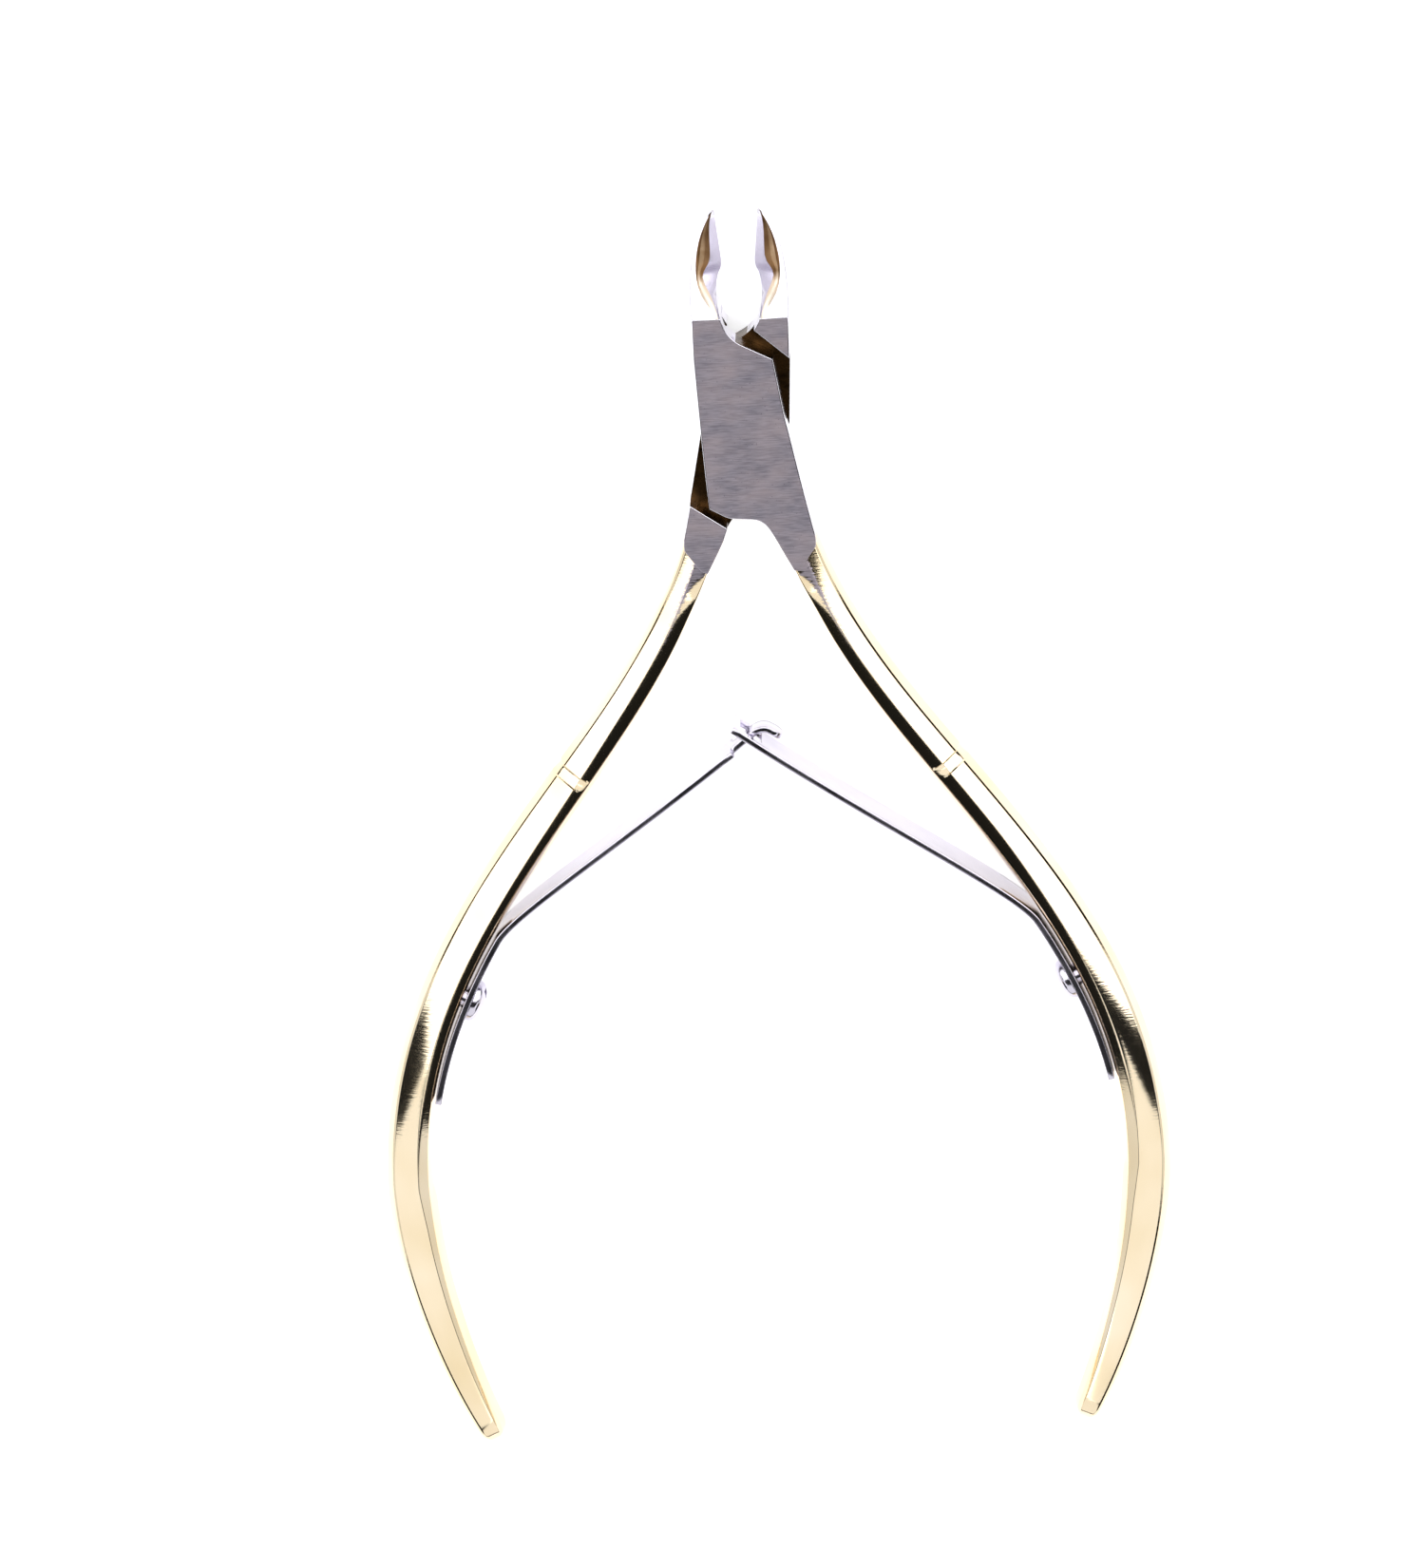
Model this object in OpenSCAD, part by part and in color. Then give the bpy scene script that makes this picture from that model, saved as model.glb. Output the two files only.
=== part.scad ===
// Cuticle nipper: two lap-jointed halves on a flush rivet, held open by two leaf springs that
// hook into each other between the handles. It lies flat: +Y points to the jaw tips and +Z to
// the front, and the origin is where the pivot axis meets the back face. The rear half is the
// front half's forging turned over about the Y axis.

/* [Forgings] */
// Thickness of the joint, and of the handles at their ridges
tool_t = 5.4; // [5:0.1:5.8]
// Gap between the two laps
lap_gap = 0.06; // [0.04:0.02:0.1]
// Distance from the pivot to the jaw tips
jaw_reach = 17.6; // [17:0.1:18]
// Thickness of a jaw at its tip
jaw_tip_t = 2.2; // [1.8:0.1:3]
// Angle that the two halves turn through from open to closed
open_angle = 11; // [10:0.5:12]
// Gap that is left between the cutting edges when the jaws are shut
edge_gap = 0.06; // [0.04:0.02:0.1]

/* [Pivot rivet] */
// Diameter of the rivet's shank
rivet_d = 3; // [2.6:0.1:3.2]
// Diameter of the rivet's flush, flared ends
rivet_end_d = 4; // [3.6:0.1:4.4]
// Depth of each flared end
rivet_end_depth = 0.6; // [0.5:0.1:0.8]
// Radial clearance of the shank in the rear half
running_clearance = 0.04; // [0.02:0.01:0.08]

/* [Leaf springs] */
// Width of a leaf, across the tool's thickness
leaf_w = 4.8; // [4.2:0.1:5]
// Thickness of a leaf
leaf_t = 0.5; // [0.4:0.05:0.6]
// Width of the narrow tongue on the left leaf
tongue_w = 2.2; // [1.8:0.1:2.4]
// Width of the slot in the right leaf that the tongue hooks through
slot_w = 3; // [2.9:0.1:3.4]
// Length of that slot, along the leaf
slot_length = 2; // [1.8:0.1:2.2]

/* [Spring screws] */
// Diameter of the domed head
screw_head_d = 3.4; // [3:0.1:3.8]
// Height of the domed head
screw_head_h = 1.1; // [0.9:0.1:1.3]
// Diameter of the shank
screw_shank_d = 1.8; // [1.6:0.1:2]

/* [Hidden] */
$fn = 64;

gold = "#E9D3A0";
satin_steel = "#8C8790";
spring_steel = "#C9C6D2";
mid_z = tool_t / 2;
eps = 0.01;                  // overlap that lets a cut run cleanly past a face
fit_gap = 0.03;              // air between a leaf and its handle
head_gap = 0.12;             // air under a screw's head, over the curved leaf
bend_gap = 0.12;             // air at a leaf's bending place, between its foot and its blade

// The handle's outer edge: a long bow from the joint to the widest place, then in to the end.
bow_upper = [[5, -8.1], [9.9, -25.2], [31.2, -37.1], [31.2, -60.9]];
bow_lower = [[31.2, -60.9], [31.2, -67], [28.2, -76.4], [24.3, -82.8]];
// Width and thickness of the handle: [place along it from 0 to 2, size].
handle_w = [[0, 2.6], [0.1, 2.6], [0.17, 2.8], [0.25, 3.15], [0.35, 3.5], [0.5, 3.65],
            [0.66, 3.5], [0.9, 3.5], [1.1, 4], [1.5, 3.5], [2, 2.5]];
handle_t = [[0, 5.2], [0.2, 5.4], [1.4, 5.4], [2, 4.4]];
round_from = 1.94;           // place where the handle's end starts to round off
// One quarter-turn reading of the section, outer side first: the front ridge lies off centre.
section = [[0.5, 0.16], [0.42, 0.34], [-0.08, 0.5], [-0.4, 0.32], [-0.5, 0.14],
           [-0.5, -0.14], [-0.4, -0.32], [-0.08, -0.5], [0.42, -0.34], [0.5, -0.16]];
stations = concat([for (i = [0 : 18]) i / 18], [for (i = [1 : 9]) 1 + i / 10],
                  [1.94, 1.965, 1.985, 1.998]);

// Places along the handle: the leaf's lower end, its screw, and where it bends away.
foot_end_at = 0.888;
screw_at = 0.74;
bend_at = 0.64;
crossing = [-0.8, -25.3];    // where the two leaves pass through each other
bend_share = 0.3;            // share of the free leaf before the place where it bends most

function bezier(p, t) =
    (1 - t) ^ 3 * p[0] + 3 * (1 - t) ^ 2 * t * p[1] + 3 * (1 - t) * t ^ 2 * p[2] + t ^ 3 * p[3];
function slope(p, t) =
    (1 - t) ^ 2 * (p[1] - p[0]) + 2 * (1 - t) * t * (p[2] - p[1]) + t ^ 2 * (p[3] - p[2]);
function unit(v) = v / norm(v);
function edge_at(s) = s <= 1 ? bezier(bow_upper, s) : bezier(bow_lower, s - 1);
function along(s) = unit(s <= 1 ? slope(bow_upper, s) : slope(bow_lower, s - 1));
function inward(s) = [along(s).y, -along(s).x];
function width(s) = lookup(s, handle_w);
function rounding(s) =
    s <= round_from ? 1 : sqrt(1 - ((s - round_from) / (2 - round_from)) ^ 2);
// A point inside the handle: depth 0 is its outer edge and 1 is its inner edge.
function inside(s, depth) = edge_at(s) + inward(s) * width(s) * depth;
function leaf_line(s) = inside(s, 1) + inward(s) * (fit_gap + leaf_t / 2);

function ring(s) = [for (p = section)
    let (q = inside(s, 0.5) - inward(s) * width(s) * p.x * rounding(s))
    [q.x, q.y, mid_z + lookup(s, handle_t) * p.y * rounding(s)]];

// The leaf's free length: it leaves along the handle, then runs nearly straight to the crossing.
leaf_bend = leaf_line(bend_at);
leaf_run = norm(crossing - leaf_bend);
function mirrored(p) = [-p.x, p.y];
function free_leaf(end) = [leaf_bend, leaf_bend - along(bend_at) * 2.6,
    leaf_bend * 0.45 + end * 0.55 + [0.5, -0.5], end];
right_free = free_leaf(crossing);
left_free = free_leaf(mirrored(crossing));

function leaf_normal(path, i) =
    let (d = unit(path[min(i + 1, len(path) - 1)] - path[max(i - 1, 0)])) [-d.y, d.x];
function strip(path, half) = concat(
    [for (i = [0 : len(path) - 1]) path[i] + half * leaf_normal(path, i)],
    [for (i = [len(path) - 1 : -1 : 0]) path[i] - half * leaf_normal(path, i)]);
function run(free, t0, t1, steps) =
    [for (i = [0 : steps]) bezier(free, t0 + (t1 - t0) * i / steps)];

// Right half of the tool's outline is the mirror of the left, so all points are the left jaw's
// and the right handle's, front half.
edge_slope = tan(open_angle / 2);
jaw_outer = [[-1.98, jaw_reach], [-3.02, 15.9], [-3.56, 14.5], [-3.84, 12], [-3.9, 10],
             [-3.83, 8.6]];
throat = [[-1.05, 8.2], [-1.4, 8.9], [-1.65, 9.6], [-1.8, 10.6], [-1.8, 11.9]];
cutting_edge = [for (y = [12.7, jaw_reach]) [-edge_slope * y - edge_gap / 2, y]];
jaw_shoulder = [-3.78, 5.8];
root_shoulder = [[1.72, -7.85], [4.6, -5.87]];
root_outer = [[4.6, -5.87], [4.95, -7.4], [5.5, -9.5], [6.2, -11.8]];
root_inner = [[3.75, -12], [2.6, -9.9], [2, -8.7], [1.72, -7.85]];
lap_left = [jaw_shoulder, [-3.5, 0.2], [-3.3, -3], [-3.1, -6.2]];
lap_bottom = [[-1.6, -7.05], [1.1, -7.25]];
lap_right = [[4, -2.9], [3.45, -0.1], [3.2, 1], [2.45, 5.8]];
lap_top = [[-0.3, 7.2], [-0.75, 7.6]];

// Side view of a jaw, as [y, z]: it thins towards the tip on both faces.
module jaw_side() {
    polygon([[5, 0], [9.05, 0], [13, 0.5], [jaw_reach + 1, mid_z - jaw_tip_t / 2],
             [jaw_reach + 1, mid_z + jaw_tip_t / 2], [13, tool_t - 0.5], [9.05, tool_t],
             [5, tool_t]]);
}

module jaw() {
    intersection() {
        linear_extrude(tool_t)
            polygon(concat(jaw_outer, [jaw_shoulder], throat, cutting_edge));
        translate([-6, 0, 0]) rotate([90, 0, 90]) linear_extrude(6) jaw_side();
    }
}

module lap() {
    translate([0, 0, mid_z + lap_gap / 2]) linear_extrude(mid_z - lap_gap / 2)
        polygon(concat([jaw_outer[5]], lap_left, lap_bottom, root_shoulder, lap_right, lap_top,
                       [throat[0], throat[1]]));
}

module handle_root() {
    linear_extrude(tool_t) polygon(concat(root_outer, root_inner));
}

module handle_bow() {
    n = len(section);
    last = (len(stations) - 1) * n;
    polyhedron(
        points = [for (s = stations) each ring(s)],
        faces = concat(
            [[for (i = [0 : n - 1]) i]],
            [for (k = [0 : len(stations) - 2], i = [0 : n - 1])
                [k * n + i, (k + 1) * n + i, (k + 1) * n + (i + 1) % n, k * n + (i + 1) % n]],
            [[for (i = [n - 1 : -1 : 0]) last + i]]));
}

// Stands an axis-Z shape at the handle's inner side, pointing away from the handle.
module at_screw() {
    n = inward(screw_at);
    p = inside(screw_at, 1);
    translate([p.x, p.y, mid_z]) rotate([0, 0, atan2(n.y, n.x)]) rotate([0, 90, 0]) children();
}

module rivet_bore(clearance) {
    r = rivet_d / 2 + clearance;
    end_r = rivet_end_d / 2 + clearance;
    translate([0, 0, -eps]) cylinder(r = r, h = tool_t + 2 * eps);
    translate([0, 0, tool_t - rivet_end_depth]) cylinder(r1 = r, r2 = end_r, h = rivet_end_depth);
    translate([0, 0, tool_t - eps]) cylinder(r = end_r, h = 2 * eps);
}

module screw_bore() {
    at_screw() translate([0, 0, -3]) cylinder(d = screw_shank_d + 0.06, h = 4);
}

// One forging: the left jaw, the front lap and the right handle.
module half(clearance) {
    difference() {
        union() {
            jaw();
            lap();
            handle_root();
            handle_bow();
        }
        rivet_bore(clearance);
        screw_bore();
    }
}

module turned_over() {
    translate([0, 0, tool_t]) rotate([0, 180, 0]) children();
}

module front_half() {
    color(gold) half(0);
}

module rear_half() {
    color(gold) turned_over() half(running_clearance);
}

module pivot_rivet() {
    color(satin_steel) rotate_extrude() polygon([
        [0, 0], [rivet_end_d / 2, 0], [rivet_d / 2, rivet_end_depth],
        [rivet_d / 2, tool_t - rivet_end_depth], [rivet_end_d / 2, tool_t], [0, tool_t]]);
}

module leaf_solid(path, w) {
    translate([0, 0, mid_z - w / 2]) linear_extrude(w) polygon(strip(path, leaf_t / 2));
}

// The clamped end of a leaf, up to the place where the free leaf bends most.
module spring_foot(free) {
    difference() {
        leaf_solid(concat(
            [for (i = [0 : 10]) leaf_line(foot_end_at + (bend_at - foot_end_at) * i / 10)],
            run(free, 0.02, bend_share - bend_gap / leaf_run / 2, 9)), leaf_w);
        at_screw() translate([0, 0, -1]) cylinder(d = screw_shank_d + 0.1, h = 3);
    }
}

module slotted_blade(free) {
    past = unit(slope(free, 1));
    difference() {
        leaf_solid(concat(run(free, bend_share + bend_gap / leaf_run / 2, 1, 14),
                          [free[3] + past * (slot_length / 2 + 0.6)]), leaf_w);
        translate([free[3].x, free[3].y, mid_z]) rotate([0, 0, atan2(past.y, past.x)])
            cube([slot_length, 4, slot_w], center = true);
    }
}

// The tongue goes on through the slot and curls over away from its own handle.
module tongued_blade(free) {
    past = unit(slope(free, 1));
    shoulder_t = 0.955;
    hook = [bezier(free, shoulder_t), free[3], free[3] + past * 0.75,
            free[3] + past * 1.1 + [-0.4, -0.1], free[3] + past * 1.1 + [-0.95, -0.35],
            free[3] + past * 1.1 + [-1.7, -0.85]];
    leaf_solid(run(free, bend_share + bend_gap / leaf_run / 2, shoulder_t, 14), leaf_w);
    leaf_solid(hook, tongue_w);
}

module spring_screw() {
    head_z = fit_gap + leaf_t + head_gap;
    at_screw() {
        translate([0, 0, -2.9]) cylinder(d = screw_shank_d, h = 2.9 + head_z + eps);
        translate([0, 0, head_z]) intersection() {
            cylinder(d = screw_head_d, h = screw_head_h);
            translate([0, 0, screw_head_h - 2]) sphere(r = 2);
        }
    }
}

module right_spring_foot() {
    color(spring_steel) spring_foot(right_free);
}

module right_spring_blade() {
    color(spring_steel) slotted_blade(right_free);
}

module right_spring_screw() {
    color(spring_steel) spring_screw();
}

module left_spring_foot() {
    color(spring_steel) turned_over() spring_foot(left_free);
}

module left_spring_blade() {
    color(spring_steel) turned_over() tongued_blade(left_free);
}

module left_spring_screw() {
    color(spring_steel) turned_over() spring_screw();
}

front_half();
rear_half();
pivot_rivet();
right_spring_foot();
right_spring_blade();
right_spring_screw();
left_spring_foot();
left_spring_blade();
left_spring_screw();
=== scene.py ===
"""Cuticle nipper: polished and plated forgings, leaf springs, screws and rivet, in a pale studio.

Shapes are worked out in millimetres and turned to metres when each mesh is finished.
+Y points to the jaw tips, +Z to the front, and the pivot axis is the Z axis.
"""
import logging
import math
from dataclasses import dataclass
from enum import Enum
from typing import Callable, Iterable, Sequence

import bmesh
import bpy
from mathutils import Matrix, Vector


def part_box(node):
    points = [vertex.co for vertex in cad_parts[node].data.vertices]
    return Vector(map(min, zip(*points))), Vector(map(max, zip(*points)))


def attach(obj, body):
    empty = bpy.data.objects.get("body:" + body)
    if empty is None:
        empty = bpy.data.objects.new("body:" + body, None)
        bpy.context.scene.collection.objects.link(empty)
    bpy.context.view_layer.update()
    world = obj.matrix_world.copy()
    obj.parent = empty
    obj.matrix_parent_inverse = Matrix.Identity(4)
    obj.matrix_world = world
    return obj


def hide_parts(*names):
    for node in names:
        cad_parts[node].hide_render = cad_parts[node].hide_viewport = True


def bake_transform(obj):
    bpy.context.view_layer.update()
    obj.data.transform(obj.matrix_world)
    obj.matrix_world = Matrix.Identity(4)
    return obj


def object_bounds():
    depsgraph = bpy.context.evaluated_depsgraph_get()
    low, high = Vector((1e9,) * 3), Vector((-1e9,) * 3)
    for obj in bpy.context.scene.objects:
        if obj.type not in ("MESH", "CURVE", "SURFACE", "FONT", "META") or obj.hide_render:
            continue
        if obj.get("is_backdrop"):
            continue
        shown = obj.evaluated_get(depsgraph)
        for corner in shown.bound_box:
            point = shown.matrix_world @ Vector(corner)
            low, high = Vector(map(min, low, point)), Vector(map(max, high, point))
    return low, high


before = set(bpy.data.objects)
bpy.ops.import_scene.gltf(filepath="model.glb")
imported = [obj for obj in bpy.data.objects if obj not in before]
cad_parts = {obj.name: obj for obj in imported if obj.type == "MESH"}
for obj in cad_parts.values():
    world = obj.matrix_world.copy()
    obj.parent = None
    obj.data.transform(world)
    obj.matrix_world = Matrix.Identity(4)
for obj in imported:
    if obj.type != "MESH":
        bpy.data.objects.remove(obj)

LOG = logging.getLogger("nipper")
MM = 0.001
ARC_STEPS = 4               # straight pieces in each rounded corner of an outline
CRISP_ANGLE = 32.0          # edges sharper than this many degrees keep a crisp line
NOISE_SPAN = (0.3, 0.7)     # nearly all of a noise's values lie between these
Outline = Sequence[tuple[float, float, float]]
Table = Sequence[tuple[float, float]]
Mesh, Vert = bmesh.types.BMesh, bmesh.types.BMVert
Node, Socket, Tree = bpy.types.Node, bpy.types.NodeSocket, bpy.types.NodeTree
Material, Piece = bpy.types.Material, bpy.types.Object


class Slot(Enum):
    """Places of the finishes on a forging."""

    GOLD = 0
    GROUND = 1
    POLISHED = 2
    HONED = 3
    RECESS = 4
    HOLLOW = 5


# ---------- numbers and curves


def flowing(x: float, table: Table) -> float:
    """Reads a value off a table of (place, value) rows, on a curve with no kinks or overshoot.

    Args:
        x: Place to read at.
        table: Rows in rising order of place.

    Returns:
        The value at x, held constant past both ends.
    """
    if x <= table[0][0]:
        return table[0][1]
    if x >= table[-1][0]:
        return table[-1][1]
    pace = [(b[1] - a[1]) / (b[0] - a[0]) for a, b in zip(table, table[1:])]
    slopes = [0.0] + [2 * p * q / (p + q) if p * q > 0 else 0.0
                      for p, q in zip(pace, pace[1:])] + [pace[-1]]
    k = max(i for i, row in enumerate(table) if row[0] <= x)
    (x0, y0), (x1, y1) = table[k], table[k + 1]
    h, t = x1 - x0, (x - x0) / (x1 - x0)
    return (y0 * (1 + 2 * t) * (1 - t) ** 2 + y1 * t * t * (3 - 2 * t)
            + h * t * (1 - t) * (slopes[k] * (1 - t) - slopes[k + 1] * t))


def bezier(points: Sequence[Vector], t: float) -> Vector:
    """Point at share t of a cubic Bezier curve."""
    a, b, c, d = points
    s = 1 - t
    return a * s**3 + b * 3 * s * s * t + c * 3 * s * t * t + d * t**3


def bezier_slope(points: Sequence[Vector], t: float) -> Vector:
    """Direction of a cubic Bezier curve at share t, not of unit length."""
    a, b, c, d = points
    s = 1 - t
    return (b - a) * s * s + (c - b) * 2 * s * t + (d - c) * t * t


def rounded(corners: Outline) -> list[Vector]:
    """Rounds the corners of a closed flat outline.

    Args:
        corners: Rows of (x, y, radius), in order round the outline.

    Returns:
        The outline's points, with an arc in place of each corner that has a radius.
    """
    points: list[Vector] = []
    count = len(corners)
    for i, (x, y, radius) in enumerate(corners):
        here = Vector((x, y))
        before = Vector(corners[i - 1][:2]) - here
        after = Vector(corners[(i + 1) % count][:2]) - here
        if radius <= 0:
            points.append(here)
            continue
        reach = min(radius, before.length * 0.49, after.length * 0.49)
        start, end = here + before.normalized() * reach, here + after.normalized() * reach
        for k in range(ARC_STEPS + 1):
            t = k / ARC_STEPS
            points.append(start * (1 - t) ** 2 + here * 2 * t * (1 - t) + end * t * t)
    return points


def smooth_through(points: Sequence[Vector], steps: int) -> list[Vector]:
    """Runs a smooth line through a few points.

    Args:
        points: The points to pass through.
        steps: Pieces between each two of them.

    Returns:
        The points of the line.
    """
    ends = [points[0] * 2 - points[1], *points, points[-1] * 2 - points[-2]]
    line = [points[0]]
    for a, b, c, d in zip(ends, ends[1:], ends[2:], ends[3:]):
        for k in range(1, steps + 1):
            t = k / steps
            line.append(0.5 * ((2 * b) + (c - a) * t + (2 * a - 5 * b + 4 * c - d) * t * t
                               + (3 * b - a - 3 * c + d) * t**3))
    return line


# ---------- mesh helpers


def sweep(bm: Mesh, rings: Sequence[Sequence[Vector]]) -> list[list]:
    """Extrudes a closed ring through a row of places and closes both ends.

    Args:
        bm: Mesh to build in.
        rings: The ring's points at each place, all of one length.

    Returns:
        The vertices of each ring, in order.
    """
    count = len(rings[0])
    verts = [bm.verts.new(p) for p in rings[0]]
    edges = [bm.edges.new((verts[i], verts[(i + 1) % count])) for i in range(count)]
    first, made = edges, [verts]
    for ring in rings[1:]:
        grown = bmesh.ops.extrude_edge_only(bm, edges=edges)["geom"]
        fresh = {g for g in grown if isinstance(g, Vert)}
        verts = [next(e.other_vert(v) for e in v.link_edges if e.other_vert(v) in fresh)
                 for v in verts]
        for vert, place in zip(verts, ring):
            vert.co = place
        edges = [bm.edges.get((verts[i], verts[(i + 1) % count])) for i in range(count)]
        made.append(verts)
    bmesh.ops.contextual_create(bm, geom=first)
    bmesh.ops.contextual_create(bm, geom=edges)
    bmesh.ops.recalc_face_normals(bm, faces=bm.faces)
    return made


def prism(outline: Sequence[Vector], low: float, high: float) -> Mesh:
    """Extrudes a flat outline from one height to another.

    Args:
        outline: Points of the outline.
        low: Height of the underside.
        high: Height of the top.

    Returns:
        A closed mesh.
    """
    bm = bmesh.new()
    base = bm.faces.new([bm.verts.new((p.x, p.y, low)) for p in outline])
    grown = bmesh.ops.extrude_face_region(bm, geom=[base])["geom"]
    lifted = [g for g in grown if isinstance(g, Vert)]
    bmesh.ops.translate(bm, verts=lifted, vec=(0, 0, high - low))
    bmesh.ops.recalc_face_normals(bm, faces=bm.faces)
    return bm


def ease_edges(bm: Mesh, chosen: Callable[[bmesh.types.BMEdge], bool],
               size: float) -> None:
    """Rounds some edges of a mesh.

    Args:
        bm: The mesh.
        chosen: Test that picks the edges.
        size: Width of the rounding.
    """
    edges = [e for e in bm.edges if len(e.link_faces) == 2 and chosen(e)]
    bmesh.ops.bevel(bm, geom=edges, offset=size, segments=2, profile=0.5,
                    affect="EDGES", material=-1, clamp_overlap=True)


def turned(profile: Table, steps: int) -> Mesh:
    """Spins a line about the Z axis into a closed solid.

    Args:
        profile: Rows of (radius, height) that start and end on the axis.
        steps: Flats round the solid.

    Returns:
        A closed mesh.
    """
    bm = bmesh.new()
    verts = [bm.verts.new((x, 0, z)) for x, z in profile]
    edges = [bm.edges.new(pair) for pair in zip(verts, verts[1:])]
    bmesh.ops.spin(bm, geom=verts + edges, cent=(0, 0, 0), axis=(0, 0, 1),
                   angle=2 * math.pi, steps=steps, use_merge=True)
    bmesh.ops.remove_doubles(bm, verts=bm.verts, dist=1e-4)
    bmesh.ops.recalc_face_normals(bm, faces=bm.faces)
    return bm


def turned_over(thickness: float) -> Matrix:
    """Move that turns a shape over about the Y axis, between the same two faces."""
    return Matrix.Translation((0, 0, thickness)) @ Matrix.Rotation(math.pi, 4, "Y")


def to_object(name: str, bm: Mesh,
              materials: Iterable[Material]) -> Piece:
    """Turns a bmesh in millimetres into an object in metres, at the origin.

    Args:
        name: Name of the object and its mesh.
        bm: The mesh, which is freed.
        materials: Finishes, in the order of the faces' slots.

    Returns:
        The linked object.
    """
    bmesh.ops.scale(bm, vec=(MM, MM, MM), verts=bm.verts)
    mesh = bpy.data.meshes.new(name)
    bm.to_mesh(mesh)
    bm.free()
    for material in materials:
        mesh.materials.append(material)
    made = bpy.data.objects.new(name, mesh)
    bpy.context.scene.collection.objects.link(made)
    return made


def combine(base: Piece, others: Iterable[Piece], operation: str = "UNION") -> Piece:
    """Joins or cuts closed solids into one clean shell.

    Args:
        base: The solid that keeps its name.
        others: Solids that are used up.
        operation: UNION or DIFFERENCE.

    Returns:
        The base object, with its new mesh.
    """
    tools = list(others)
    for tool in tools:
        modifier = base.modifiers.new(tool.name, "BOOLEAN")
        modifier.operation, modifier.object, modifier.solver = operation, tool, "EXACT"
    bpy.context.view_layer.update()
    graph = bpy.context.evaluated_depsgraph_get()
    mesh = bpy.data.meshes.new_from_object(base.evaluated_get(graph))
    base.modifiers.clear()
    old, base.data = base.data, mesh
    bpy.data.meshes.remove(old)
    for tool in tools:
        bpy.data.objects.remove(tool)
    mesh.name = base.name
    return base


def polish_shading(piece: Piece) -> None:
    """Smooths a piece's shading, keeps its crisp edges and holds its flats flat."""
    piece.data.shade_smooth()
    piece.data.set_sharp_from_angle(angle=math.radians(CRISP_ANGLE))
    weighted = piece.modifiers.new("held flats", "WEIGHTED_NORMAL")
    weighted.keep_sharp = True
    weighted.weight = 80


# ---------- finishes


def linear(hex_colour: str) -> tuple[float, float, float, float]:
    """Turns an sRGB hex colour, such as #E9D3A0, to linear light with full alpha."""
    parts = [int(hex_colour[i:i + 2], 16) / 255 for i in (1, 3, 5)]
    light = [c / 12.92 if c <= 0.04045 else ((c + 0.055) / 1.055) ** 2.4 for c in parts]
    return (*light, 1.0)


def add(tree: Tree, kind: str, settings: dict | None = None, **inputs: object) -> Node:
    """Adds a node, sets it up and links it.

    Args:
        tree: Node tree to add to.
        kind: The node's type, without ShaderNode before it.
        settings: Properties of the node itself.
        **inputs: Input sockets by name, with _ for a space, or by n0, n1 for their place. A
            socket is linked and anything else is set as its value.

    Returns:
        The new node.
    """
    node = tree.nodes.new("ShaderNode" + kind)
    for key, value in (settings or {}).items():
        setattr(node, key, value)
    for key, value in inputs.items():
        place = int(key[1:]) if key[0] == "n" and key[1:].isdigit() else key.replace("_", " ")
        socket = node.inputs[place]
        if isinstance(value, Socket):
            tree.links.new(value, socket)
        else:
            socket.default_value = value
    return node


def stretched(tree: Tree, along_mm: tuple[float, float, float], detail: float = 2.0,
              turn: float = 0.0) -> Socket:
    """Noise whose grains have a real size along each axis of the object.

    Args:
        tree: Node tree to add to.
        along_mm: Size of a grain along X, Y and Z, in millimetres.
        detail: Octaves of finer noise.
        turn: Angle that the grain is turned about Z, in degrees.

    Returns:
        The noise's value, about 0.5.
    """
    place = add(tree, "TexCoord").outputs["Object"]
    mapped = add(tree, "Mapping", Vector=place, Rotation=(0, 0, math.radians(turn)),
                 Scale=tuple(1 / (size * MM) for size in along_mm))
    noise = add(tree, "TexNoise", Vector=mapped.outputs[0], Scale=1.0, Detail=detail)
    return noise.outputs["Fac"]


def dappled(tree: Tree, pattern: Socket, base: Socket | tuple, other: str,
            shares: tuple[float, float] = (0.0, 1.0),
            span: tuple[float, float] = NOISE_SPAN) -> Socket:
    """Lays a second colour over a first one by a pattern.

    Args:
        tree: Node tree to add to.
        pattern: Value that the shares follow.
        base: The first colour, or the socket with it.
        other: The second colour, as sRGB hex.
        shares: Share of the second colour at the start and the end of the span.
        span: Values of the pattern that the shares run between.

    Returns:
        The colour's socket.
    """
    share = add(tree, "MapRange", n0=pattern, n1=span[0], n2=span[1], n3=shares[0], n4=shares[1])
    mix = add(tree, "Mix", {"data_type": "RGBA"}, n0=share.outputs[0], n6=base, n7=linear(other))
    return mix.outputs[2]


def metal(tree: Tree, tone: Socket, relief: Socket, strength: float, depth_mm: float,
          cloud: Socket, roughness: float, swing: tuple[float, float]) -> Socket:
    """Adds a bare or plated metal with a fine relief and a roughness that drifts.

    Args:
        tree: Node tree to add to.
        tone: The metal's colour.
        relief: Pattern that stands up from the surface.
        strength: Strength of the relief.
        depth_mm: Depth of the relief, in millimetres.
        cloud: Pattern that the roughness follows.
        roughness: The usual roughness.
        swing: How far the roughness drifts below and above that.

    Returns:
        The shader's socket.
    """
    bump = add(tree, "Bump", Strength=strength, Distance=depth_mm * MM, Height=relief)
    rough = add(tree, "MapRange", n0=cloud, n1=NOISE_SPAN[0], n2=NOISE_SPAN[1],
                n3=roughness + swing[0], n4=roughness + swing[1])
    shader = add(tree, "BsdfPrincipled", Base_Color=tone, Metallic=1.0,
                 Roughness=rough.outputs[0], Normal=bump.outputs[0])
    return shader.outputs[0]


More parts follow.
